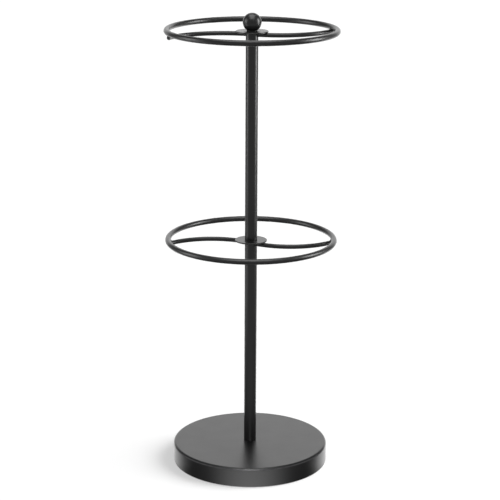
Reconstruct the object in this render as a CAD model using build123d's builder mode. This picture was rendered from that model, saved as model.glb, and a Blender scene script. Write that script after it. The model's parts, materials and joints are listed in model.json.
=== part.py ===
from build123d import *
from math import asin, cos, degrees, radians, sin
import os

# Two-tier rotating display rack, in millimetres.
# The origin is on the post's axis, on the surface that the rack stands on. +Z is up, -Y is the front.

os.makedirs("parts", exist_ok=True)

# ---------------------------------------------------------------- driving dimensions

base_height = 18.0
lower_ring_height = 209.0
upper_ring_height = 395.5

base_radius = 70.0
shell_wall = 1.2
shell_edge_radius = 2.2
shell_lift = 0.6
pad_thickness = 2.4
pad_inset = 0.6
weight_gap = 0.15
weight_chamfer = 1.0
recess_radius = 12.0
recess_depth = 11.0
pad_hole_radius = 13.0

tube_radius = 5.5
tube_wall = 1.0
tube_end_chamfer = 0.25
thread_radius = 3.0
thread_clearance = 0.05
insert_gap = 0.02
insert_chamfer = 0.5
foot_insert_length = 14.0
hub_insert_length = 12.0
stud_engagement = 10.0
finial_engagement = 8.0

bolt_length = 20.0
bolt_head_radius = 5.0
bolt_head_height = 6.0
bolt_socket_width = 5.0
bolt_socket_depth = 3.0
bolt_edge_size = 0.5
bolt_hole_radius = 3.3
flat_washer_radius = 9.0
flat_washer_thickness = 1.6
lock_washer_radius = 5.6
lock_washer_thickness = 1.5
lock_washer_slot = 0.9
lock_washer_slot_angle = 20.0
washer_bore_radius = 3.2

ring_radius = 73.9
ring_wire_radius = 2.5
arm_wire_radius = 2.0
arm_bulge = 15.2
arm_inner_reach = 5.8
arm_end_fillet = 0.5

disc_radius = 14.25
disc_thickness = 1.2
disc_drop = 0.2
disc_edge_fillet = 0.3
arm_weld_flat = 0.15

bushing_radius = 3.8
bushing_clearance = 0.05
slide_washer_thickness = 0.5
slide_washer_bore_radius = 3.95
axial_gap = 0.1

ball_radius = 8.2
ball_foot_radius = 4.6
ball_hole_depth = 8.6

# Turn of each tier about the post, in degrees: at 0 both arms end on the X axis.
lower_tier_turn = 3.8
upper_tier_turn = 18.0

# How far from the post's axis each tier's arms end, under the hoop.
lower_arm_reach = 73.6
upper_arm_reach = 74.9

# ---------------------------------------------------------------- heights that follow

shell_inner_top = base_height - shell_wall
recess_roof = pad_thickness + recess_depth
bore_radius = thread_radius + thread_clearance
insert_radius = tube_radius - tube_wall - insert_gap


def hub_levels(ring_height):
    """Disc underside, disc top, top of the tube below, and foot of the piece above a hub."""
    disc_top = ring_height - disc_drop
    disc_underside = disc_top - disc_thickness
    tube_top = disc_underside - axial_gap - slide_washer_thickness
    next_foot = disc_top + axial_gap + slide_washer_thickness
    return disc_underside, disc_top, tube_top, next_foot


lower_tube_top = hub_levels(lower_ring_height)[2]
upper_tube_foot = hub_levels(lower_ring_height)[3]
upper_tube_top = hub_levels(upper_ring_height)[2]
ball_foot = hub_levels(upper_ring_height)[3]

# ---------------------------------------------------------------- base

# Stamped cap: a flat top and a straight skirt, with a hole for the bolt.
with BuildPart() as base_shell:
    with BuildSketch(Plane.XY.offset(shell_lift)):
        Circle(base_radius)
    extrude(amount=base_height - shell_lift)
    fillet(base_shell.edges().group_by(Axis.Z)[-1], radius=shell_edge_radius)
    offset(amount=-shell_wall, openings=base_shell.faces().sort_by(Axis.Z)[0])
    with BuildSketch(Plane.XY.offset(shell_inner_top)):
        Circle(bolt_hole_radius)
    extrude(amount=shell_wall, mode=Mode.SUBTRACT)
base_shell.part.label = "base_shell"
export_step(base_shell.part, "parts/base_shell.step")

# Cast weight: fills the shell and has a round recess below for the bolt head.
with BuildPart() as base_weight:
    with BuildSketch(Plane.XY.offset(pad_thickness)):
        Circle(base_radius - shell_wall - weight_gap)
    extrude(amount=shell_inner_top - pad_thickness)
    chamfer(base_weight.edges().group_by(Axis.Z)[-1], length=weight_chamfer)
    with BuildSketch(Plane.XY.offset(pad_thickness)):
        Circle(recess_radius)
    extrude(amount=recess_depth, mode=Mode.SUBTRACT)
    with BuildSketch(Plane.XY.offset(recess_roof)):
        Circle(bolt_hole_radius)
    extrude(amount=shell_inner_top - recess_roof, mode=Mode.SUBTRACT)
base_weight.part.label = "base_weight"
export_step(base_weight.part, "parts/base_weight.step")

# Foot pad: a flat foam rubber ring that the rack stands on.
with BuildPart() as base_pad:
    with BuildSketch():
        Circle(base_radius - shell_wall - pad_inset)
        Circle(pad_hole_radius, mode=Mode.SUBTRACT)
    extrude(amount=pad_thickness)
    chamfer(base_pad.edges().group_by(Axis.Z)[0], length=shell_lift / 2)
base_pad.part.label = "base_pad"
export_step(base_pad.part, "parts/base_pad.step")

# ---------------------------------------------------------------- bolt and its washers

flat_washer_foot = recess_roof - flat_washer_thickness
lock_washer_foot = flat_washer_foot - lock_washer_thickness
bolt_head_foot = lock_washer_foot - bolt_head_height

with BuildPart() as post_bolt_washer:
    with BuildSketch(Plane.XY.offset(flat_washer_foot)):
        Circle(flat_washer_radius)
        Circle(washer_bore_radius, mode=Mode.SUBTRACT)
    extrude(amount=flat_washer_thickness)
post_bolt_washer.part.label = "post_bolt_washer"
export_step(post_bolt_washer.part, "parts/post_bolt_washer.step")

with BuildPart() as post_bolt_lock_washer:
    with BuildSketch(Plane.XY.offset(lock_washer_foot)):
        Circle(lock_washer_radius)
        Circle(washer_bore_radius, mode=Mode.SUBTRACT)
        with Locations((lock_washer_radius / 2, 0)):
            Rectangle(
                2 * lock_washer_radius,
                lock_washer_slot,
                rotation=lock_washer_slot_angle,
                mode=Mode.SUBTRACT,
            )
    extrude(amount=lock_washer_thickness)
post_bolt_lock_washer.part.label = "post_bolt_lock_washer"
export_step(post_bolt_lock_washer.part, "parts/post_bolt_lock_washer.step")

with BuildPart() as post_bolt:
    with BuildSketch(Plane.XY.offset(bolt_head_foot)):
        Circle(bolt_head_radius)
    extrude(amount=bolt_head_height)
    fillet(post_bolt.edges().group_by(Axis.Z)[0], radius=bolt_edge_size)
    with BuildSketch(Plane.XY.offset(lock_washer_foot)):
        Circle(thread_radius)
    extrude(amount=bolt_length)
    chamfer(post_bolt.edges().group_by(Axis.Z)[-1], length=bolt_edge_size)
    with BuildSketch(Plane.XY.offset(bolt_head_foot)):
        RegularPolygon(bolt_socket_width / 2, 6, major_radius=False)
    extrude(amount=bolt_socket_depth, mode=Mode.SUBTRACT)
post_bolt.part.label = "post_bolt"
export_step(post_bolt.part, "parts/post_bolt.step")

# ---------------------------------------------------------------- post tubes and threaded inserts

for name, foot, top in (
    ("lower_post_tube", base_height, lower_tube_top),
    ("upper_post_tube", upper_tube_foot, upper_tube_top),
):
    with BuildPart() as tube:
        with BuildSketch(Plane.XY.offset(foot)):
            Circle(tube_radius)
        extrude(amount=top - foot)
        chamfer(tube.edges().group_by(Axis.Z)[0], length=tube_end_chamfer)
        chamfer(tube.edges().group_by(Axis.Z)[-1], length=tube_end_chamfer)
        with BuildSketch(Plane.XY.offset(foot)):
            Circle(tube_radius - tube_wall)
        extrude(amount=top - foot, mode=Mode.SUBTRACT)
    tube.part.label = name
    export_step(tube.part, f"parts/{name}.step")

for name, foot, length in (
    ("lower_post_bottom_insert", base_height, foot_insert_length),
    ("lower_post_top_insert", lower_tube_top - hub_insert_length, hub_insert_length),
    ("upper_post_bottom_insert", upper_tube_foot, hub_insert_length),
    ("upper_post_top_insert", upper_tube_top - hub_insert_length, hub_insert_length),
):
    with BuildPart() as insert:
        with BuildSketch(Plane.XY.offset(foot)):
            Circle(insert_radius)
        extrude(amount=length)
        chamfer(insert.edges().filter_by(GeomType.CIRCLE), length=insert_chamfer / 2)
        with BuildSketch(Plane.XY.offset(foot)):
            Circle(bore_radius)
        extrude(amount=length, mode=Mode.SUBTRACT)
    insert.part.label = name
    export_step(insert.part, f"parts/{name}.step")

for name, foot, top in (
    ("lower_hub_stud", lower_tube_top - stud_engagement, upper_tube_foot + stud_engagement),
    ("finial_stud", upper_tube_top - stud_engagement, ball_foot + finial_engagement),
):
    with BuildPart() as stud:
        with BuildSketch(Plane.XY.offset(foot)):
            Circle(thread_radius)
        extrude(amount=top - foot)
        chamfer(stud.edges().filter_by(GeomType.CIRCLE), length=insert_chamfer)
    stud.part.label = name
    export_step(stud.part, f"parts/{name}.step")

# ---------------------------------------------------------------- ball finial

with BuildPart() as finial_ball:
    ball_centre = ball_foot + (ball_radius**2 - ball_foot_radius**2) ** 0.5
    with BuildSketch(Plane.XZ):
        with BuildLine():
            Line((0, ball_foot), (ball_foot_radius, ball_foot))
            ThreePointArc(
                (ball_foot_radius, ball_foot), (ball_radius, ball_centre), (0, ball_centre + ball_radius)
            )
            Line((0, ball_centre + ball_radius), (0, ball_foot))
        make_face()
    revolve(axis=Axis.Z)
    with BuildSketch(Plane.XY.offset(ball_foot)):
        Circle(bore_radius)
    extrude(amount=ball_hole_depth, mode=Mode.SUBTRACT)
finial_ball.part.label = "finial_ball"
export_step(finial_ball.part, "parts/finial_ball.step")

# ---------------------------------------------------------------- hubs and turning tiers

# An arm follows one arc from the post's axis to the ring, bowed to one side of the straight line.
arm_arc_radius = ((ring_radius / 2) ** 2 + arm_bulge**2) / (2 * arm_bulge)
arm_arc_centre = (ring_radius / 2, arm_arc_radius - arm_bulge)


def arc_swing(reach):
    """Angle along the arm's arc from the post's axis to the point that is this far from it."""
    return degrees(2 * asin(reach / (2 * arm_arc_radius)))


arm_arc_start = arc_swing(arm_inner_reach) - 90 - arc_swing(ring_radius) / 2

for tier, ring_height, turn, arm_reach in (
    ("lower", lower_ring_height, lower_tier_turn, lower_arm_reach),
    ("upper", upper_ring_height, upper_tier_turn, upper_arm_reach),
):
    disc_underside, disc_top, tube_top, next_foot = hub_levels(ring_height)
    arm_height = disc_underside + arm_weld_flat - arm_wire_radius
    arm_arc_size = arc_swing(arm_reach) - arc_swing(arm_inner_reach)

    # Plain sleeve, clamped between the pieces above and below, that the tier turns on.
    with BuildPart() as bushing:
        with BuildSketch(Plane.XY.offset(tube_top)):
            Circle(bushing_radius)
            Circle(bore_radius, mode=Mode.SUBTRACT)
        extrude(amount=next_foot - tube_top)
    bushing.part.label = f"{tier}_hub_bushing"
    export_step(bushing.part, f"parts/{tier}_hub_bushing.step")

    # Slide washers, one each side of the hub disc.
    for side, foot in (("below", tube_top), ("above", disc_top + axial_gap)):
        with BuildPart() as slide_washer:
            with BuildSketch(Plane.XY.offset(foot)):
                Circle(ball_foot_radius if (tier, side) == ("upper", "above") else tube_radius)
                Circle(slide_washer_bore_radius, mode=Mode.SUBTRACT)
            extrude(amount=slide_washer_thickness)
        slide_washer.part.label = f"{tier}_hub_washer_{side}"
        export_step(slide_washer.part, f"parts/{tier}_hub_washer_{side}.step")

    # Thin hub disc with a bore that runs on the bushing.
    with BuildPart() as hub_disc:
        with BuildSketch(Plane.XY.offset(disc_underside)):
            Circle(disc_radius)
        extrude(amount=disc_thickness)
        fillet(hub_disc.edges().filter_by(GeomType.CIRCLE), radius=disc_edge_fillet)
        with BuildSketch(Plane.XY.offset(disc_underside)):
            Circle(bushing_radius + bushing_clearance)
        extrude(amount=disc_thickness, mode=Mode.SUBTRACT)
    hub_disc.part.label = f"{tier}_hub_disc"
    export_step(hub_disc.part, f"parts/{tier}_hub_disc.step")

    # Round wire hoop.
    with BuildPart() as ring:
        with BuildSketch(Plane.XZ):
            with Locations((ring_radius, ring_height)):
                Circle(ring_wire_radius)
        revolve(axis=Axis.Z)
    ring.part.label = f"{tier}_ring"
    export_step(ring.part, f"parts/{tier}_ring.step")

    # Two bowed rods that make an S, sunk a little into the disc and the hoop where they are welded.
    for side, heading in (("left", turn + 180), ("right", turn)):
        arm_plane = Plane(
            origin=(0, 0, arm_height),
            x_dir=(cos(radians(heading)), sin(radians(heading)), 0),
            z_dir=(0, 0, 1),
        )
        with BuildPart() as arm:
            with BuildLine(arm_plane) as arm_line:
                CenterArc(arm_arc_centre, arm_arc_radius, arm_arc_start, arm_arc_size)
            with BuildSketch(Plane(origin=arm_line.line @ 0, z_dir=arm_line.line % 0)):
                Circle(arm_wire_radius)
            sweep()
            fillet(arm.edges().filter_by(GeomType.CIRCLE), radius=arm_end_fillet)
            with BuildSketch(Plane.XY.offset(disc_underside)):
                Circle(disc_radius)
            extrude(amount=disc_thickness, mode=Mode.SUBTRACT)
            with BuildSketch(Plane.XZ):
                with Locations((ring_radius, ring_height)):
                    Circle(ring_wire_radius)
            revolve(axis=Axis.Z, mode=Mode.SUBTRACT)
        arm.part.label = f"{tier}_arm_{side}"
        export_step(arm.part, f"parts/{tier}_arm_{side}.step")
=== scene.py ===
import json
import math

import bpy
import numpy as np
from mathutils import Matrix, Vector


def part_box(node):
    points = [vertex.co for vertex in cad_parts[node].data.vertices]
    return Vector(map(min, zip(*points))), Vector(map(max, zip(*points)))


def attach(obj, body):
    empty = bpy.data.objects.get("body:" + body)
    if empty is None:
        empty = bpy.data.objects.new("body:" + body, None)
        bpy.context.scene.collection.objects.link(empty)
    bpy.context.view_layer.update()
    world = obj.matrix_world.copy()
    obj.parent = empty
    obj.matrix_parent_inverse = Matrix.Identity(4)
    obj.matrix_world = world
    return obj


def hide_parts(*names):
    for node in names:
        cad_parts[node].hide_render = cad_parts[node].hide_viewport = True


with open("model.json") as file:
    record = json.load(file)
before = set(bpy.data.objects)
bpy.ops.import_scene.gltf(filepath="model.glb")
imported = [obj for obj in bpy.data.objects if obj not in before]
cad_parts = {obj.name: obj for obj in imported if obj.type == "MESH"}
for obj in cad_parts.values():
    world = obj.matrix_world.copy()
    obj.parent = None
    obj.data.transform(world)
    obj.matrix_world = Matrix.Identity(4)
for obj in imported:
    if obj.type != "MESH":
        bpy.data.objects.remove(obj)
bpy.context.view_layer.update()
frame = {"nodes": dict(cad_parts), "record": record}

# Looks of a two-tier rotating display rack, in metres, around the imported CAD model.
# The post stands on the Z axis, the front is -Y, and the floor is at z = 0.

MM = 0.001

# ---------------------------------------------------------------- sizes that the frame doesn't give

SHELL_WALL = 1.2 * MM
SHELL_EDGE_RADIUS = 2.2 * MM
RIM_RADIUS = 0.35 * MM
TUBE_END_RADIUS = 0.25 * MM
TUBE_WALL = 1.0 * MM
DISC_EDGE_RADIUS = 0.35 * MM
DISC_BORE_RADIUS = 3.85 * MM
SHEET_BORE_EDGE_RADIUS = 0.1 * MM
BALL_FOOT_RADIUS = 4.6 * MM
BALL_BORE_RADIUS = 3.05 * MM
BALL_BORE_DEPTH = 8.6 * MM
BALL_BORE_EDGE_RADIUS = 0.2 * MM
PAD_EDGE_RADIUS = 0.3 * MM
PAD_HOLE_RADIUS = 13.0 * MM
WEIGHT_RECESS_RADIUS = 12.0 * MM
WEIGHT_BORE_RADIUS = 3.3 * MM
WEIGHT_BORE_EDGE_RADIUS = 0.3 * MM
WEIGHT_RECESS_ROOF_RADIUS = 0.8 * MM
WEIGHT_RECESS_EDGE_RADIUS = 0.6 * MM
WEIGHT_FOOT_RADIUS = 0.5 * MM
WEIGHT_TOP_RADIUS = 1.2 * MM

ARM_BULGE = 15.2 * MM
ARM_INNER_REACH = 5.8 * MM
ARM_OUTER_REACH = {"lower": 73.6 * MM, "upper": 74.9 * MM}
ARM_END_RADIUS = 0.5 * MM
TIER_TURN = {"lower": math.radians(3.8), "upper": math.radians(18.0)}

# The hoop's butt weld.
SEAM_ANGLE = math.radians(118)
SEAM_LENGTH = 1.6 * MM
SEAM_SWELLING = 0.05

# The fillets of the welds. Width is the blend's width, and a ripple is a share of it.
WELD_CELL = 0.22 * MM
WELD_SINK = 0.02 * MM
RING_WELD_WIDTH = 2.2 * MM
RING_WELD_RIPPLE = 0.12
RING_WELD_PITCH = 0.45 * MM
RING_WELD_REACH = 5.2 * MM
RING_WELD_SETBACK = 0.1 * MM
DISC_WELD_WIDTH = 1.9 * MM
DISC_WELD_LEAST_SHARE = 0.001
DISC_WELD_RIPPLE = 0.15
DISC_WELD_PITCH = 0.3 * MM
DISC_WELD_START = 6.3 * MM
DISC_WELD_MARGIN = 0.6 * MM
DISC_WELD_REACH = 2.6 * MM
DISC_WELD_COVER = 0.2 * MM
DISC_WELD_AREA = ((2 * MM, -14 * MM), (15 * MM, 4 * MM))


# ---------------------------------------------------------------- materials

# Scales are of noise, in features per metre. Depths are of surface relief.
PAINT_COLOURS = ((0.0105, 0.0105, 0.0110), (0.0135, 0.0135, 0.0140))
PAINT_ROUGHNESS = (0.325, 0.355)
PAINT_IOR = 1.5
PAINT_PATCH_SCALE = 60
PAINT_PEEL_SCALE = 900
PAINT_PEEL_DEPTH = 0.012 * MM
PAINT_GRAIN_SCALE = 4200
PAINT_GRAIN_DEPTH = 0.003 * MM
ZINC_COLOURS = ((0.50, 0.50, 0.49), (0.66, 0.66, 0.68))
ZINC_ROUGHNESS = (0.28, 0.42)
ZINC_CLOUD_SCALE = 350
ZINC_MARK_SCALE = 6000
ZINC_MARK_DEPTH = 0.003 * MM
IRON_COLOURS = ((0.020, 0.019, 0.018), (0.045, 0.041, 0.038))
IRON_ROUGHNESS = (0.55, 0.8)
IRON_SAND_SCALE = 1400
IRON_SAND_DEPTH = 0.12 * MM
IRON_STAIN_SCALE = 90
FOAM_COLOURS = ((0.012, 0.012, 0.012), (0.026, 0.026, 0.026))
FOAM_ROUGHNESS = 0.85
FOAM_SHADE_SCALE = 120
FOAM_CELL_SCALE = 1600
FOAM_CELL_DEPTH = 0.1 * MM
NYLON_COLOURS = ((0.010, 0.010, 0.010), (0.018, 0.018, 0.018))
NYLON_ROUGHNESS = (0.38, 0.5)
NYLON_MOTTLE_SCALE = 1500
NYLON_MOTTLE_DEPTH = 0.01 * MM

# Along the base's rounded edge the paint is made paler as a painted highlight, broken up by noise, and its
# gloss a little smoother.
RIM_INSET = 0.15 * MM
RIM_DROP = 1.4 * MM
RIM_REACH = 0.85 * MM
RIM_HIGHLIGHT_COLOUR = (0.12, 0.12, 0.125)
RIM_HIGHLIGHT_LEAST = 0.55
RIM_HIGHLIGHT_BREAK_SCALE = 260
RIM_SMOOTHING = 0.08


def new_material(name):
    """An empty node material with a Principled shader, its nodes and its links."""
    material = bpy.data.materials.new(name)
    material.use_nodes = True
    nodes = material.node_tree.nodes
    return material, nodes, material.node_tree.links, nodes["Principled BSDF"]


def object_noise(nodes, links, scale, detail, roughness=0.5):
    """Noise in the piece's own coordinates, with features about 1 / scale metres across."""
    coordinates = nodes.new("ShaderNodeTexCoord")
    noise = nodes.new("ShaderNodeTexNoise")
    noise.inputs["Scale"].default_value = scale
    noise.inputs["Detail"].default_value = detail
    noise.inputs["Roughness"].default_value = roughness
    links.new(coordinates.outputs["Object"], noise.inputs["Vector"])
    return noise.outputs["Fac"]


def map_range(nodes, links, value, low, high, from_low=0.3, from_high=0.7):
    """The value stretched from one range to another, and held inside it."""
    node = nodes.new("ShaderNodeMapRange")
    node.inputs["From Min"].default_value = from_low
    node.inputs["From Max"].default_value = from_high
    node.inputs["To Min"].default_value = low
    node.inputs["To Max"].default_value = high
    links.new(value, node.inputs["Value"])
    return node.outputs["Result"]


def math_node(nodes, links, operation, first, second):
    """One arithmetic step on two sockets or numbers."""
    node = nodes.new("ShaderNodeMath")
    node.operation = operation
    for socket, value in zip(node.inputs, (first, second)):
        if isinstance(value, (int, float)):
            socket.default_value = value
        else:
            links.new(value, socket)
    return node.outputs[0]


def mix_colours(nodes, links, factor, first, second):
    """A colour between two colours or sockets, by a factor."""
    node = nodes.new("ShaderNodeMix")
    node.data_type = "RGBA"
    for socket, colour in ((node.inputs[6], first), (node.inputs[7], second)):
        if isinstance(colour, tuple):
            socket.default_value = (*colour, 1)
        else:
            links.new(colour, socket)
    links.new(factor, node.inputs[0])
    return node.outputs[2]


def bump(nodes, links, height, distance, normal=None):
    """Surface relief of the given depth in metres, on top of an earlier relief."""
    node = nodes.new("ShaderNodeBump")
    node.inputs["Strength"].default_value = 1.0
    node.inputs["Distance"].default_value = distance
    links.new(height, node.inputs["Height"])
    if normal is not None:
        links.new(normal, node.inputs["Normal"])
    return node.outputs["Normal"]


def near_circle(nodes, links, radius, height, reach):
    """1 on a circle about the Z axis, falling to 0 at the given distance from it."""
    coordinates = nodes.new("ShaderNodeTexCoord")
    split = nodes.new("ShaderNodeSeparateXYZ")
    flat = nodes.new("ShaderNodeCombineXYZ")
    from_axis = nodes.new("ShaderNodeVectorMath")
    from_axis.operation = "LENGTH"
    links.new(coordinates.outputs["Object"], split.inputs["Vector"])
    links.new(split.outputs["X"], flat.inputs["X"])
    links.new(split.outputs["Y"], flat.inputs["Y"])
    links.new(flat.outputs["Vector"], from_axis.inputs[0])
    offset = nodes.new("ShaderNodeCombineXYZ")
    links.new(math_node(nodes, links, "SUBTRACT", from_axis.outputs["Value"], radius), offset.inputs["X"])
    links.new(math_node(nodes, links, "SUBTRACT", split.outputs["Z"], height), offset.inputs["Y"])
    distance = nodes.new("ShaderNodeVectorMath")
    distance.operation = "LENGTH"
    links.new(offset.outputs["Vector"], distance.inputs[0])
    return map_range(nodes, links, distance.outputs["Value"], 1.0, 0.0, 0.0, reach)


def satin_black_paint(name="satin_black_paint", rim=None):
    """Powder coat: near black, a fine orange peel with a faint grain, and slightly uneven gloss.

    A rim (radius, height, reach) gets a painted highlight: a paler colour broken up by noise, and a slightly
    smoother gloss.
    """
    material, nodes, links, shader = new_material(name)
    patches = object_noise(nodes, links, PAINT_PATCH_SCALE, 3)
    peel = object_noise(nodes, links, PAINT_PEEL_SCALE, 2)
    grain = object_noise(nodes, links, PAINT_GRAIN_SCALE, 2)
    colour = mix_colours(nodes, links, patches, *PAINT_COLOURS)
    roughness = map_range(nodes, links, patches, *PAINT_ROUGHNESS)
    if rim is not None:
        rim_highlight = near_circle(nodes, links, *rim)
        highlight_breakup = object_noise(nodes, links, RIM_HIGHLIGHT_BREAK_SCALE, 4)
        broken_highlight = map_range(nodes, links, highlight_breakup, RIM_HIGHLIGHT_LEAST, 1.0)
        rim_highlight = math_node(nodes, links, "MULTIPLY", rim_highlight, broken_highlight)
        # Paler colour near the rim: a painted highlight.
        colour = mix_colours(nodes, links, rim_highlight, colour, RIM_HIGHLIGHT_COLOUR)
        smoother = math_node(nodes, links, "MULTIPLY", rim_highlight, RIM_SMOOTHING)
        roughness = math_node(nodes, links, "SUBTRACT", roughness, smoother)
    links.new(colour, shader.inputs["Base Color"])
    links.new(roughness, shader.inputs["Roughness"])
    relief = bump(nodes, links, peel, PAINT_PEEL_DEPTH)
    relief = bump(nodes, links, grain, PAINT_GRAIN_DEPTH, relief)
    links.new(relief, shader.inputs["Normal"])
    shader.inputs["IOR"].default_value = PAINT_IOR
    return material


def zinc_plate():
    """Bright zinc plating with a cloudy passivated tint and fine machining marks."""
    material, nodes, links, shader = new_material("zinc_plate")
    clouds = object_noise(nodes, links, ZINC_CLOUD_SCALE, 4)
    marks = object_noise(nodes, links, ZINC_MARK_SCALE, 1)
    links.new(mix_colours(nodes, links, clouds, *ZINC_COLOURS), shader.inputs["Base Color"])
    links.new(map_range(nodes, links, clouds, *ZINC_ROUGHNESS), shader.inputs["Roughness"])
    links.new(bump(nodes, links, marks, ZINC_MARK_DEPTH), shader.inputs["Normal"])
    shader.inputs["Metallic"].default_value = 1.0
    return material


def cast_iron():
    """Sand-cast iron under thin black primer: pitted and dull."""
    material, nodes, links, shader = new_material("cast_iron")
    sand = object_noise(nodes, links, IRON_SAND_SCALE, 6, 0.7)
    stains = object_noise(nodes, links, IRON_STAIN_SCALE, 4)
    links.new(mix_colours(nodes, links, stains, *IRON_COLOURS), shader.inputs["Base Color"])
    links.new(map_range(nodes, links, sand, *IRON_ROUGHNESS), shader.inputs["Roughness"])
    links.new(bump(nodes, links, sand, IRON_SAND_DEPTH), shader.inputs["Normal"])
    return material


def foam_rubber():
    """Closed-cell foam sheet: dull black with fine cells."""
    material, nodes, links, shader = new_material("foam_rubber")
    coordinates = nodes.new("ShaderNodeTexCoord")
    cells = nodes.new("ShaderNodeTexVoronoi")
    cells.inputs["Scale"].default_value = FOAM_CELL_SCALE
    links.new(coordinates.outputs["Object"], cells.inputs["Vector"])
    shade = object_noise(nodes, links, FOAM_SHADE_SCALE, 4)
    links.new(mix_colours(nodes, links, shade, *FOAM_COLOURS), shader.inputs["Base Color"])
    shader.inputs["Roughness"].default_value = FOAM_ROUGHNESS
    links.new(bump(nodes, links, cells.outputs["Distance"], FOAM_CELL_DEPTH), shader.inputs["Normal"])
    return material


def slide_plastic():
    """Moulded black nylon with a faint mottle."""
    material, nodes, links, shader = new_material("slide_plastic")
    mottle = object_noise(nodes, links, NYLON_MOTTLE_SCALE, 3)
    links.new(mix_colours(nodes, links, mottle, *NYLON_COLOURS), shader.inputs["Base Color"])
    links.new(map_range(nodes, links, mottle, *NYLON_ROUGHNESS), shader.inputs["Roughness"])
    links.new(bump(nodes, links, mottle, NYLON_MOTTLE_DEPTH), shader.inputs["Normal"])
    return material


shell_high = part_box("base_shell")[1]
MATERIALS = {
    # The base shell's paint carries a painted highlight along its rounded edge.
    "base_paint_painted_rim_highlight": satin_black_paint(
        "base_paint_painted_rim_highlight",
        (shell_high.x - RIM_INSET, shell_high.z - RIM_DROP, RIM_REACH),
    ),
    "satin_black_paint": satin_black_paint(),
    "zinc_steel": zinc_plate(),
    "cast_weight": cast_iron(),
    "foam_rubber": foam_rubber(),
    "slide_plastic": slide_plastic(),
}


# ---------------------------------------------------------------- mesh tools

# A point nearer the axis than this is one vertex, not a ring of them.
ON_AXIS = 1e-7


def new_piece(name, vertices, faces, slot, body, replaced=(), normals=None, material=None):
    """A smooth mesh piece that rides on a body, in place of CAD nodes.

    Its material is its slot's, unless it has its own.
    """
    mesh = bpy.data.meshes.new(name)
    mesh.from_pydata([tuple(v) for v in vertices], [], [tuple(f) for f in faces])
    mesh.validate()
    mesh.polygons.foreach_set("use_smooth", [True] * len(mesh.polygons))
    if normals is not None:
        mesh.normals_split_custom_set_from_vertices([tuple(n) for n in normals])
    mesh.materials.append(MATERIALS[material or slot])
    piece = bpy.data.objects.new(name, mesh)
    bpy.context.scene.collection.objects.link(piece)
    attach(piece, body)
    if replaced:
        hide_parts(*replaced)
    return piece


def rounded_corner(before, corner, after, radius, steps=6):
    """Points and outward normals round one corner of an anticlockwise outline in the (r, z) plane."""
    way_in = (Vector(corner) - Vector(before)).normalized()
    way_out = (Vector(after) - Vector(corner)).normalized()
    turn = math.atan2(way_in.cross(way_out), way_in.dot(way_out))
    start = Vector(corner) - way_in * radius * math.tan(abs(turn) / 2)
    outward = Vector((way_in.y, -way_in.x))
    side = math.copysign(radius, turn)
    centre = start - outward * side
    made = []
    for step in range(steps + 1):
        normal = outward.copy()
        normal.rotate(Matrix.Rotation(turn * step / steps, 2))
        made.append((centre + normal * side, normal))
    return made


def rounded_outline(corners, steps=6):
    """A closed outline with every corner (r, z, radius) rounded."""
    made = []
    for index, (r, z, radius) in enumerate(corners):
        before = corners[index - 1][:2]
        after = corners[(index + 1) % len(corners)][:2]
        made += rounded_corner(before, (r, z), after, radius, steps)
    return made


def lathe(name, outline, slot, body, replaced=(), segments=96, closed=True, material=None):
    """A turned piece: the outline of (point, normal) pairs in the (r, z) plane, spun about the Z axis."""
    vertices, normals, rows = [], [], []
    for point, normal in outline:
        on_axis = point.x < ON_AXIS
        first = len(vertices)
        for segment in range(1 if on_axis else segments):
            angle = 2 * math.pi * segment / segments
            vertices.append((point.x * math.cos(angle), point.x * math.sin(angle), point.y))
            normals.append((normal.x * math.cos(angle), normal.x * math.sin(angle), normal.y))
        rows.append([first] * segments if on_axis else list(range(first, first + segments)))
    faces = []
    pairs = zip(rows, rows[1:] + rows[:1]) if closed else zip(rows, rows[1:])
    for lower, upper in pairs:
        for segment in range(segments):
            after = (segment + 1) % segments
            corners = [lower[segment], lower[after], upper[after], upper[segment]]
            faces.append(list(dict.fromkeys(corners)))
    return new_piece(name, vertices, faces, slot, body, replaced, normals, material)


def fill_pinches(value, shallow):
    """Fill grid corners, in place, until no two filled ones meet only across a square's diagonal."""
    found = True
    while found:
        found = False
        for normal in range(3):
            u, v = [axis for axis in range(3) if axis != normal]
            square = []
            for du, dv in ((0, 0), (0, 1), (1, 1), (1, 0)):
                part = [slice(None)] * 3
                part[u] = slice(1, None) if du else slice(0, -1)
                part[v] = slice(1, None) if dv else slice(0, -1)
                square.append(value[tuple(part)])
            filled = [corners < 0 for corners in square]
            for first in (0, 1):
                meet = filled[first] & filled[first + 2] & ~filled[1 - first] & ~filled[3 - first]
                square[1 - first][meet] = -shallow
                square[3 - first][meet] = -shallow
                found = found or bool(meet.any())


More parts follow.
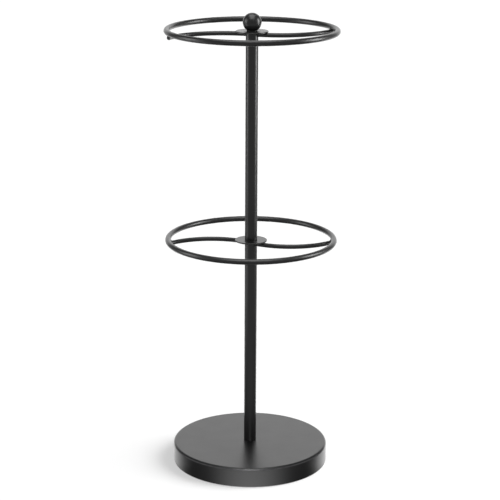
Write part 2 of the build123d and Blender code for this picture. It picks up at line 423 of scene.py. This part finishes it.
def surface_net(field, low, high, cell):
    """Vertices and quads of the closed surface where a field of (x, y, z), negative inside, is zero."""
    axes = [np.arange(low[i], high[i] + cell, cell) for i in range(3)]
    corner = np.stack(np.meshgrid(*axes, indexing="ij"), axis=-1)
    value = field(corner[..., 0], corner[..., 1], corner[..., 2])
    fill_pinches(value, cell / 10)
    inside = value < 0
    cells = tuple(n - 1 for n in value.shape)
    # A grid edge that crosses the surface gives a point to its four cells, and a quad between them.
    total = np.zeros(cells + (3,))
    hits = np.zeros(cells)
    edges = []
    for axis in range(3):
        sides = [a for a in range(3) if a != axis]
        start = tuple(slice(0, -1) if a == axis else slice(None) for a in range(3))
        end = tuple(slice(1, None) if a == axis else slice(None) for a in range(3))
        crossed = np.argwhere(inside[start] != inside[end])
        step = np.eye(3, dtype=int)[axis]
        first = value[tuple(crossed.T)]
        last = value[tuple((crossed + step).T)]
        point = corner[tuple(crossed.T)] + step * cell * (first / (first - last))[:, None]
        around = []
        for offset in ((0, 0), (1, 0), (1, 1), (0, 1)):
            shift = np.zeros(3, dtype=int)
            shift[sides[0]], shift[sides[1]] = offset
            around.append(crossed - shift)
            keep = np.all((around[-1] >= 0) & (around[-1] < cells), axis=1)
            np.add.at(total, tuple(around[-1][keep].T), point[keep])
            np.add.at(hits, tuple(around[-1][keep].T), 1)
        flip = (first > 0) == (axis != 1)
        edges.append((np.stack(around, axis=1), flip))
    # A cell's vertex is the mean of its points.
    number = np.full(cells, -1)
    used = hits > 0
    number[used] = np.arange(used.sum())
    vertices = total[used] / hits[used][:, None]
    faces = []
    for around, flip in edges:
        quads = number[around[..., 0], around[..., 1], around[..., 2]]
        quads[flip] = quads[flip][:, ::-1]
        faces += quads.tolist()
    return vertices, faces


# ---------------------------------------------------------------- base

def base_pieces():
    """Stamped shell, cast weight and foam pad, turned to the CAD sizes."""
    low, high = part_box("base_shell")
    radius, roof = high.x, high.z
    bore = WEIGHT_BORE_RADIUS
    inner_corner = SHELL_EDGE_RADIUS - SHELL_WALL
    # The shell's paint has a painted highlight along its rounded edge.
    lathe("base_shell_skin", rounded_outline([
        (bore, roof - SHELL_WALL, SHEET_BORE_EDGE_RADIUS),
        (radius - SHELL_WALL, roof - SHELL_WALL, inner_corner),
        (radius - SHELL_WALL, low.z, RIM_RADIUS),
        (radius, low.z, RIM_RADIUS),
        (radius, roof, SHELL_EDGE_RADIUS),
        (bore, roof, SHEET_BORE_EDGE_RADIUS),
    ], steps=10), "satin_black_paint", "stand", ["base_shell"], segments=256, material="base_paint_painted_rim_highlight")

    low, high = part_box("base_weight")
    recess_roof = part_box("post_bolt_washer")[1].z
    lathe("base_weight_casting", rounded_outline([
        (bore, recess_roof, WEIGHT_BORE_EDGE_RADIUS),
        (WEIGHT_RECESS_RADIUS, recess_roof, WEIGHT_RECESS_ROOF_RADIUS),
        (WEIGHT_RECESS_RADIUS, low.z, WEIGHT_RECESS_EDGE_RADIUS),
        (high.x, low.z, WEIGHT_FOOT_RADIUS),
        (high.x, high.z, WEIGHT_TOP_RADIUS),
        (bore, high.z, WEIGHT_BORE_EDGE_RADIUS),
    ]), "cast_weight", "stand", ["base_weight"], segments=192)

    low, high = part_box("base_pad")
    lathe("base_pad_foam", rounded_outline([
        (PAD_HOLE_RADIUS, low.z, PAD_EDGE_RADIUS),
        (high.x, low.z, PAD_EDGE_RADIUS),
        (high.x, high.z, PAD_EDGE_RADIUS),
        (PAD_HOLE_RADIUS, high.z, PAD_EDGE_RADIUS),
    ]), "foam_rubber", "stand", ["base_pad"], segments=192)


# ---------------------------------------------------------------- post and finial

def post_pieces():
    """The two post tubes, each with softened ends."""
    for name in ("lower_post_tube", "upper_post_tube"):
        low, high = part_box(name)
        inner = high.x - TUBE_WALL
        lathe(name + "_skin", rounded_outline([
            (inner, low.z, TUBE_END_RADIUS),
            (high.x, low.z, TUBE_END_RADIUS),
            (high.x, high.z, TUBE_END_RADIUS),
            (inner, high.z, TUBE_END_RADIUS),
        ]), "satin_black_paint", "stand", [name])


def finial_piece():
    """Ball with a small flat foot and a blind bore for its stud."""
    low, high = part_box("finial_ball")
    radius = high.x
    centre = high.z - radius
    bore_end = low.z + BALL_BORE_DEPTH
    roof_centre, roof_edge = (0, bore_end), (BALL_BORE_RADIUS, bore_end)
    mouth, foot = (BALL_BORE_RADIUS, low.z), (BALL_FOOT_RADIUS, low.z)
    outline = [(Vector(roof_centre), Vector((0, -1)))]
    outline += rounded_corner(roof_centre, roof_edge, mouth, BALL_BORE_EDGE_RADIUS)
    outline += rounded_corner(roof_edge, mouth, foot, BALL_BORE_EDGE_RADIUS)
    foot_angle = math.asin((low.z - centre) / radius)
    steps = 48
    for step in range(steps + 1):
        angle = foot_angle + (math.pi / 2 - foot_angle) * step / steps
        normal = Vector((math.cos(angle), math.sin(angle)))
        outline.append((Vector((0, centre)) + normal * radius, normal))
    outline[-1] = (Vector((0, high.z)), Vector((0, 1)))
    lathe("finial_ball_skin", outline, "satin_black_paint", "stand", ["finial_ball"], closed=False)


# ---------------------------------------------------------------- tiers

def tier_sizes(tier):
    """The sizes and heights of the ring's circle and wire, of the arms' rods and of the disc."""
    ring_low, ring_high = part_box(tier + "_ring")
    arm_low, arm_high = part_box(tier + "_arm_left")
    disc_low, disc_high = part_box(tier + "_hub_disc")
    wire = (ring_high.z - ring_low.z) / 2
    return {
        "arm_reach": ARM_OUTER_REACH[tier],
        "ring": ring_high.x - wire,
        "wire": wire,
        "ring_z": (ring_high.z + ring_low.z) / 2,
        "rod": (arm_high.z - arm_low.z) / 2,
        "rod_z": (arm_high.z + arm_low.z) / 2,
        "disc": disc_high.x,
        "disc_low": disc_low.z,
        "disc_high": disc_high.z,
    }


def arm_arc(ring_radius):
    """Radius and centre of an arm's arc, for an arm that runs from the Z axis along +X and bows to -Y."""
    radius = ((ring_radius / 2) ** 2 + ARM_BULGE**2) / (2 * ARM_BULGE)
    return radius, Vector((ring_radius / 2, radius - ARM_BULGE, 0))


def ring_piece(tier, sizes):
    """Wire hoop with a slightly swollen butt weld."""
    around, across = 320, 32
    vertices, faces = [], []
    for i in range(around):
        turn = 2 * math.pi * i / around
        off = (turn - SEAM_ANGLE) * sizes["ring"] / SEAM_LENGTH
        wire = sizes["wire"] * (1 + SEAM_SWELLING * math.exp(-off * off))
        row, after = i * across, (i + 1) % around * across
        for j in range(across):
            angle = 2 * math.pi * j / across
            reach = sizes["ring"] + wire * math.cos(angle)
            height = sizes["ring_z"] + wire * math.sin(angle)
            vertices.append((reach * math.cos(turn), reach * math.sin(turn), height))
            up = (j + 1) % across
            faces.append((row + j, after + j, after + up, row + up))
    name = tier + "_ring"
    new_piece(name + "_wire", vertices, faces, "satin_black_paint", tier + "_tier", [name])


def arm_piece(tier, side, heading, sizes):
    """Bowed rod with rounded ends, from the hub to under the ring."""
    radius, centre = arm_arc(sizes["ring"])
    rod, across, along, cap_steps = sizes["rod"], 28, 96, 6
    start = 2 * math.asin(ARM_INNER_REACH / (2 * radius))
    end = 2 * math.asin(sizes["arm_reach"] / (2 * radius))
    origin_angle = math.atan2(-centre.y, -centre.x)
    cap = []
    for step in range(cap_steps):
        tilt = math.pi / 2 * step / cap_steps
        slide = ARM_END_RADIUS * (1 - math.cos(tilt))
        cap.append((slide / radius, rod - ARM_END_RADIUS * (1 - math.sin(tilt))))
    full = ARM_END_RADIUS / radius
    stations = [(start + swing, size) for swing, size in cap]
    for step in range(along + 1):
        stations.append((start + full + (end - start - 2 * full) * step / along, rod))
    stations += [(end - swing, size) for swing, size in reversed(cap)]
    turn = Matrix.Rotation(heading, 3, "Z")
    vertices, faces = [], []
    for swing, size in stations:
        angle = origin_angle + swing
        outward = Vector((math.cos(angle), math.sin(angle), 0))
        spine = centre + outward * radius + Vector((0, 0, sizes["rod_z"]))
        for j in range(across):
            around = 2 * math.pi * j / across
            offset = outward * math.cos(around) + Vector((0, 0, math.sin(around)))
            vertices.append(turn @ (spine + offset * size))
    last = len(vertices) - across
    for row in range(0, last, across):
        after = row + across
        for j in range(across):
            up = (j + 1) % across
            faces.append((row + j, after + j, after + up, row + up))
    faces.append(tuple(range(across)))
    faces.append(tuple(last + j for j in reversed(range(across))))
    name = f"{tier}_arm_{side}"
    new_piece(name + "_rod", vertices, faces, "satin_black_paint", tier + "_tier", [name])


def blend(first, second, width):
    """Smooth union of two distance fields, filled by up to a quarter of the width in the corner."""
    overlap = np.maximum(0, 1 - np.abs(first - second) / width)
    return np.minimum(first, second) - width / 4 * overlap**2


def weld_meshes(sizes):
    """The fillets left by welding an arm under the ring and under the disc, for an arm along +X."""
    radius, centre = arm_arc(sizes["ring"])

    def rod_distance(x, y, z):
        across = np.hypot(x - centre.x, y - centre.y) - radius
        return np.hypot(across, z - sizes["rod_z"]) - sizes["rod"]

    def ring_weld(x, y, z):
        wire = np.hypot(np.hypot(x, y) - sizes["ring"], z - sizes["ring_z"]) - sizes["wire"]
        ripple = 1 + RING_WELD_RIPPLE * np.sin((x - 2 * y) / RING_WELD_PITCH)
        joined = blend(rod_distance(x, y, z), wire, RING_WELD_WIDTH * ripple) + WELD_SINK
        ball = np.sqrt((x - sizes["ring"]) ** 2 + y**2 + (z - sizes["rod_z"] - sizes["rod"]) ** 2)
        end = np.hypot(x, y) - (sizes["arm_reach"] - RING_WELD_SETBACK)
        return np.maximum.reduce([joined, ball - RING_WELD_REACH, end])

    def disc_weld(x, y, z):
        from_axis = np.hypot(x, y)
        beyond = from_axis - sizes["disc"]
        middle = (sizes["disc_low"] + sizes["disc_high"]) / 2
        above = np.abs(z - middle) - (sizes["disc_high"] - sizes["disc_low"]) / 2
        plate = np.minimum(np.maximum(beyond, above), 0)
        plate += np.hypot(np.maximum(beyond, 0), np.maximum(above, 0))
        inner, outer = DISC_WELD_START, sizes["disc"] - DISC_WELD_MARGIN
        share = np.clip((from_axis - inner) / (outer - inner), 0, 1)
        ripple = 1 + DISC_WELD_RIPPLE * np.sin(from_axis / DISC_WELD_PITCH)
        swell = np.sqrt(np.clip(4 * share * (1 - share), DISC_WELD_LEAST_SHARE, 1))
        joined = blend(rod_distance(x, y, z), plate, DISC_WELD_WIDTH * swell * ripple) + WELD_SINK
        ends = np.maximum(inner - from_axis, from_axis - outer)
        near = np.abs(np.hypot(x - centre.x, y - centre.y) - radius) - DISC_WELD_REACH
        lid = z - sizes["disc_high"] + DISC_WELD_COVER
        return np.maximum.reduce([joined, ends, near, lid])

    foot = sizes["rod_z"] - sizes["rod"] - MM
    reach = RING_WELD_REACH
    ring_box = (
        (sizes["ring"] - reach - MM, -reach - MM, foot),
        (sizes["ring"] + reach, reach + MM, sizes["ring_z"] + sizes["wire"] + MM),
    )
    area_low, area_high = DISC_WELD_AREA
    disc_box = ((*area_low, foot), (*area_high, sizes["disc_high"] + MM / 2))
    return {
        "ring_weld": surface_net(ring_weld, *ring_box, WELD_CELL),
        "disc_weld": surface_net(disc_weld, *disc_box, WELD_CELL),
    }


def tier_pieces(tier):
    """Ring, hub disc, two arms and their welds."""
    sizes = tier_sizes(tier)
    ring_piece(tier, sizes)
    disc = tier + "_hub_disc"
    lathe(disc + "_plate", rounded_outline([
        (DISC_BORE_RADIUS, sizes["disc_low"], SHEET_BORE_EDGE_RADIUS),
        (sizes["disc"], sizes["disc_low"], DISC_EDGE_RADIUS),
        (sizes["disc"], sizes["disc_high"], DISC_EDGE_RADIUS),
        (DISC_BORE_RADIUS, sizes["disc_high"], SHEET_BORE_EDGE_RADIUS),
    ]), "satin_black_paint", tier + "_tier", [disc], segments=128)
    welds = weld_meshes(sizes)
    for side, heading in (("left", TIER_TURN[tier] + math.pi), ("right", TIER_TURN[tier])):
        arm_piece(tier, side, heading, sizes)
        turn = np.array(Matrix.Rotation(heading, 3, "Z"))
        for weld, (vertices, faces) in welds.items():
            name = f"{tier}_{weld}_{side}"
            new_piece(name, vertices @ turn.T, faces, "satin_black_paint", tier + "_tier")


# ---------------------------------------------------------------- carried-over CAD nodes

def dress_cad_nodes():
    """Hardware and slide parts keep their CAD shape and get their slot's material."""
    slots = {row["node"]: row["material_slot"] for row in frame["record"]["subparts"]}
    for name, node in frame["nodes"].items():
        node.data.materials.clear()
        node.data.materials.append(MATERIALS[slots[name]])


# ---------------------------------------------------------------- stage, light and camera

# Angles are in degrees.
# The world's brightness changes at these x, y or z parts of the direction, to these levels.
WALL_START = 0.72
WALL_END = 0.88
WALL_TOP_START = 0.55
WALL_TOP_END = 0.72
WALL_LEVEL = 1.36
WALL_RIGHT_GAIN = 0.3
BACK_FLOOR_LEVEL = 1.8
BACK_FLOOR_START = 0.34
BACK_FLOOR_END = 0.66
BACK_FLOOR_TOP_START = -0.36
BACK_FLOOR_TOP_END = -0.24
ROOM_LEVEL = 0.21
ROOM_FLOOR_LEVEL = 0.04
ROOM_FLOOR_START = -0.4
ROOM_FLOOR_END = -0.2
FRONT_START = -0.9
FRONT_END = 0.1
FRONT_LEVEL = 0.18
LOW_FRONT_START = -0.3
LOW_FRONT_END = -0.12
LOW_FRONT_LEVEL = 0.29
DIFFUSE_LEVEL = 0.52

# Panels that show only in reflections: two opposite corners, the strength, and the piece that
# alone reflects the panel (INCLUDE) or that alone doesn't (EXCLUDE), if any.
REFLECTED_PANELS = {
    "right_softbox": ((1.0, -0.20, 0.10), (1.0, 0.14, 0.62), 11.0, "base_shell_skin", "EXCLUDE"),
    "right_strip": ((1.0, -0.12, 0.62), (1.0, 0.10, 0.95), 20.0, "base_shell_skin", "EXCLUDE"),
    "left_softbox": ((-1.0, -0.26, 0.10), (-1.0, 0.14, 0.90), 4.6, "base_shell_skin", "EXCLUDE"),
    "top_softbox": ((-0.4, -0.75, 1.25), (0.4, 0.35, 1.25), 3.2, None, None),
    "hoop_softbox": ((-0.8, -1.15, 1.25), (0.8, -0.75, 1.25), 5.5, "lower_ring_wire", "INCLUDE"),
    "left_patch": ((-1.15, -0.36, 0.0003), (-0.42, 0.12, 0.0003), 1.5, None, None),
    "base_patch_left": ((-0.5, -0.04, 0.0004), (-0.07, 0.5, 0.0004), 0.2, "base_shell_skin", "INCLUDE"),
    "base_patch_right": ((0.07, -0.04, 0.0004), (0.5, 0.5, 0.0004), 0.2, "base_shell_skin", "INCLUDE"),
    "upright_card": ((-0.05, -0.25, 0.05), (0.05, -0.25, 0.30), 5.0, "base_shell_skin", "INCLUDE"),
}

# The card on the floor before the base. Its glow fades to both sides of the front.
CARD_NEAR = -0.03
CARD_FAR = -0.15
CARD_HALF_WIDTH = 0.11
CARD_LIFT = 0.0002
CARD_LEVEL = 2.15
CARD_HALF_ANGLE = 36.0

FLOOR_REACH = 12.0
FLOOR_DROP = 0.1 * MM
FLOOR_SHADE = 0.3
FLOOR_ROUGHNESS = 0.9
FLOOR_GLOW = 0.5
KEY_ENERGY = 6.8
KEY_SPREAD = 50.0
KEY_ELEVATION = 39.0
KEY_AZIMUTH = 0.0

# The sensor and lens are in millimetres. The tilt is down from level, and the roll is
# anticlockwise as seen from behind the camera.
SENSOR_WIDTH = 36.0
CAMERA_LENS = 121.85
CAMERA_PLACE = (-0.00083, -1.4570, 0.6034)
CAMERA_TILT = 15.511
CAMERA_ROLL = 0.298
CAMERA_SIGHT = 100


def direction_socket(nodes, links):
    """The world direction, split into x, y and z."""
    coordinates = nodes.new("ShaderNodeTexCoord")
    split = nodes.new("ShaderNodeSeparateXYZ")
    links.new(coordinates.outputs["Generated"], split.inputs["Vector"])
    return split.outputs


def smooth_step(nodes, links, value, start, end, low=0.0, high=1.0):
    """A soft step of the value between two limits."""
    result = map_range(nodes, links, value, low, high, start, end)
    result.node.interpolation_type = "SMOOTHSTEP"
    return result


def studio_world():
    """A dim room with a white wall and a white floor behind the object.

    Seen directly, the room is plain white, and what it scatters is even.
    """
    world = bpy.data.worlds.new("studio")
    bpy.context.scene.world = world
    world.use_nodes = True
    nodes, links = world.node_tree.nodes, world.node_tree.links
    nodes.clear()
    way = direction_socket(nodes, links)
    wall = smooth_step(nodes, links, way["Y"], WALL_START, WALL_END)
    below_top = smooth_step(nodes, links, way["Z"], WALL_TOP_START, WALL_TOP_END, 1.0, 0.0)
    wall = math_node(nodes, links, "MULTIPLY", wall, below_top)
    wall = math_node(nodes, links, "MULTIPLY", wall, WALL_LEVEL)
    ground = smooth_step(nodes, links, way["Y"], BACK_FLOOR_START, BACK_FLOOR_END)
    below = smooth_step(
        nodes, links, way["Z"], BACK_FLOOR_TOP_START, BACK_FLOOR_TOP_END, BACK_FLOOR_LEVEL, 0.0
    )
    back_floor = math_node(nodes, links, "MULTIPLY", ground, below)
    wall = math_node(nodes, links, "MAXIMUM", wall, back_floor)
    sideways = math_node(nodes, links, "MULTIPLY", way["X"], WALL_RIGHT_GAIN)
    gain = math_node(nodes, links, "ADD", sideways, 1.0)
    wall = math_node(nodes, links, "MULTIPLY", wall, gain)
    front = smooth_step(nodes, links, way["Y"], FRONT_START, FRONT_END, 1.0, 0.0)
    low = smooth_step(nodes, links, way["Z"], LOW_FRONT_START, LOW_FRONT_END, LOW_FRONT_LEVEL, 0.0)
    front_level = math_node(nodes, links, "ADD", low, FRONT_LEVEL)
    front = math_node(nodes, links, "MULTIPLY", front, front_level)
    room = smooth_step(
        nodes, links, way["Z"], ROOM_FLOOR_START, ROOM_FLOOR_END, ROOM_FLOOR_LEVEL, ROOM_LEVEL
    )
    level = math_node(nodes, links, "ADD", wall, room)
    level = math_node(nodes, links, "ADD", level, front)
    rays = nodes.new("ShaderNodeLightPath")
    scattered = nodes.new("ShaderNodeMix")
    links.new(rays.outputs["Is Diffuse Ray"], scattered.inputs["Factor"])
    links.new(level, scattered.inputs["A"])
    scattered.inputs["B"].default_value = DIFFUSE_LEVEL
    seen = nodes.new("ShaderNodeMix")
    links.new(rays.outputs["Is Camera Ray"], seen.inputs["Factor"])
    links.new(scattered.outputs["Result"], seen.inputs["A"])
    seen.inputs["B"].default_value = 1.0
    background = nodes.new("ShaderNodeBackground")
    background.inputs["Color"].default_value = (1, 1, 1, 1)
    output = nodes.new("ShaderNodeOutputWorld")
    links.new(seen.outputs["Result"], background.inputs["Strength"])
    links.new(background.outputs["Background"], output.inputs["Surface"])


def stage_rectangle(name, first, opposite, material):
    """A flat stage piece between two opposite corners, either upright or level."""
    if first[0] == opposite[0]:
        second = (first[0], opposite[1], first[2])
    else:
        second = (opposite[0], first[1], first[2])
    fourth = tuple(a + b - c for a, b, c in zip(first, opposite, second))
    mesh = bpy.data.meshes.new(name)
    mesh.from_pydata([first, second, opposite, fourth], [], [(0, 1, 2, 3)])
    mesh.materials.append(material)
    rectangle = bpy.data.objects.new(name, mesh)
    bpy.context.scene.collection.objects.link(rectangle)
    return rectangle


def glow_material(name, strength):
    """An emitter that adds to whatever lies behind it, with its nodes, its links and its glow."""
    material = bpy.data.materials.new(name)
    material.use_nodes = True
    nodes, links = material.node_tree.nodes, material.node_tree.links
    nodes.clear()
    glow = nodes.new("ShaderNodeEmission")
    glow.inputs["Strength"].default_value = strength
    clear = nodes.new("ShaderNodeBsdfTransparent")
    both = nodes.new("ShaderNodeAddShader")
    output = nodes.new("ShaderNodeOutputMaterial")
    links.new(glow.outputs["Emission"], both.inputs[0])
    links.new(clear.outputs["BSDF"], both.inputs[1])
    links.new(both.outputs["Shader"], output.inputs["Surface"])
    return material, nodes, links, glow


def link_light(source, thing, state):
    """Limit a light to one object (INCLUDE), or keep it off that object (EXCLUDE)."""
    linked = bpy.data.collections.new("linked_to_" + source.name)
    linked.objects.link(thing)
    linked.collection_objects[0].light_linking.link_state = state
    source.light_linking.receiver_collection = linked


def reflected_panel(name, first, opposite, material, piece, state):
    """A light panel that shows in glossy reflections and nowhere else, linked to a piece if one is named."""
    panel = stage_rectangle(name, first, opposite, material)
    panel.visible_camera = False
    panel.visible_diffuse = False
    panel.visible_shadow = False
    panel.visible_transmission = False
    panel.visible_volume_scatter = False
    if piece is not None:
        link_light(panel, bpy.data.objects[piece], state)


def reflected_panels():
    """The softboxes, and the bright patches and card that stand for the lit floor and front."""
    for name, (first, opposite, strength, piece, state) in REFLECTED_PANELS.items():
        material = glow_material(name, strength)[0]
        reflected_panel(name, first, opposite, material, piece, state)


def front_card():
    """A card on the floor that only the base reflects, brightest straight ahead of it."""
    material, nodes, links, glow = glow_material("front_card", 1.0)
    coordinates = nodes.new("ShaderNodeTexCoord")
    split = nodes.new("ShaderNodeSeparateXYZ")
    links.new(coordinates.outputs["Object"], split.inputs["Vector"])
    forward = math_node(nodes, links, "MULTIPLY", split.outputs["Y"], -1.0)
    angle = math_node(nodes, links, "ARCTAN2", split.outputs["X"], forward)
    across = math_node(nodes, links, "POWER", split.outputs["X"], 2.0)
    ahead = math_node(nodes, links, "POWER", forward, 2.0)
    distance = math_node(nodes, links, "ADD", across, ahead)
    distance = math_node(nodes, links, "POWER", distance, 0.5)
    # The glow fans out with distance from the base.
    share = math_node(nodes, links, "DIVIDE", shell_high.x, distance)
    spread = math_node(nodes, links, "SUBTRACT", 2.0, share)
    angle = math_node(nodes, links, "DIVIDE", angle, spread)
    angle = math_node(nodes, links, "MULTIPLY", angle, 90.0 / CARD_HALF_ANGLE)
    angle = math_node(nodes, links, "MINIMUM", angle, math.pi / 2)
    angle = math_node(nodes, links, "MAXIMUM", angle, -math.pi / 2)
    wave = math_node(nodes, links, "COSINE", angle, 0.0)
    level = math_node(nodes, links, "MULTIPLY", wave, wave)
    level = math_node(nodes, links, "MULTIPLY", level, CARD_LEVEL)
    links.new(level, glow.inputs["Strength"])
    first = (-CARD_HALF_WIDTH, CARD_FAR, CARD_LIFT)
    opposite = (CARD_HALF_WIDTH, CARD_NEAR, CARD_LIFT)
    reflected_panel("front_card", first, opposite, material, "base_shell_skin", "INCLUDE")


def floor():
    """Plain white floor that shows a soft shadow, clear from below so that the underside can be seen."""
    material, nodes, links, shader = new_material("floor")
    shader.inputs["Base Color"].default_value = (FLOOR_SHADE, FLOOR_SHADE, FLOOR_SHADE, 1)
    shader.inputs["Roughness"].default_value = FLOOR_ROUGHNESS
    shader.inputs["Specular IOR Level"].default_value = 0.0
    shader.inputs["Emission Color"].default_value = (1, 1, 1, 1)
    shader.inputs["Emission Strength"].default_value = FLOOR_GLOW
    facing = nodes.new("ShaderNodeNewGeometry")
    clear = nodes.new("ShaderNodeBsdfTransparent")
    mix = nodes.new("ShaderNodeMixShader")
    links.new(facing.outputs["Backfacing"], mix.inputs["Fac"])
    links.new(shader.outputs["BSDF"], mix.inputs[1])
    links.new(clear.outputs["BSDF"], mix.inputs[2])
    links.new(mix.outputs["Shader"], nodes["Material Output"].inputs["Surface"])
    first = (-FLOOR_REACH, -FLOOR_REACH, -FLOOR_DROP)
    opposite = (FLOOR_REACH, FLOOR_REACH, -FLOOR_DROP)
    plane = stage_rectangle("floor", first, opposite, material)
    plane.visible_glossy = False
    plane.visible_diffuse = False
    return plane


def key_light(plane):
    """A very broad light from the right on the floor alone, for the soft shadow left of the base."""
    light = bpy.data.lights.new("key", "SUN")
    light.energy = KEY_ENERGY
    light.angle = math.radians(KEY_SPREAD)
    lamp = bpy.data.objects.new("key", light)
    elevation, azimuth = math.radians(KEY_ELEVATION), math.radians(KEY_AZIMUTH)
    source = Vector((
        math.cos(elevation) * math.cos(azimuth),
        math.cos(elevation) * math.sin(azimuth),
        math.sin(elevation),
    ))
    lamp.rotation_mode = "QUATERNION"
    lamp.rotation_quaternion = source.to_track_quat("Z", "Y")
    lamp.visible_glossy = False
    bpy.context.scene.collection.objects.link(lamp)
    link_light(lamp, plane, "INCLUDE")


def camera():
    """A long lens, a little above the rack, looking down at it."""
    data = bpy.data.cameras.new("camera")
    data.sensor_width = SENSOR_WIDTH
    data.lens = CAMERA_LENS
    data.clip_end = CAMERA_SIGHT
    eye = bpy.data.objects.new("camera", data)
    eye.location = CAMERA_PLACE
    pitch = Matrix.Rotation(math.radians(90 - CAMERA_TILT), 3, "X")
    roll = Matrix.Rotation(math.radians(CAMERA_ROLL), 3, "Z")
    eye.rotation_mode = "QUATERNION"
    eye.rotation_quaternion = (pitch @ roll).to_quaternion()
    bpy.context.scene.collection.objects.link(eye)
    bpy.context.scene.camera = eye


dress_cad_nodes()
base_pieces()
post_pieces()
finial_piece()
for tier in ("lower", "upper"):
    tier_pieces(tier)
studio_world()
reflected_panels()
front_card()
key_light(floor())
camera()
bpy.context.scene.view_settings.view_transform = "Standard"
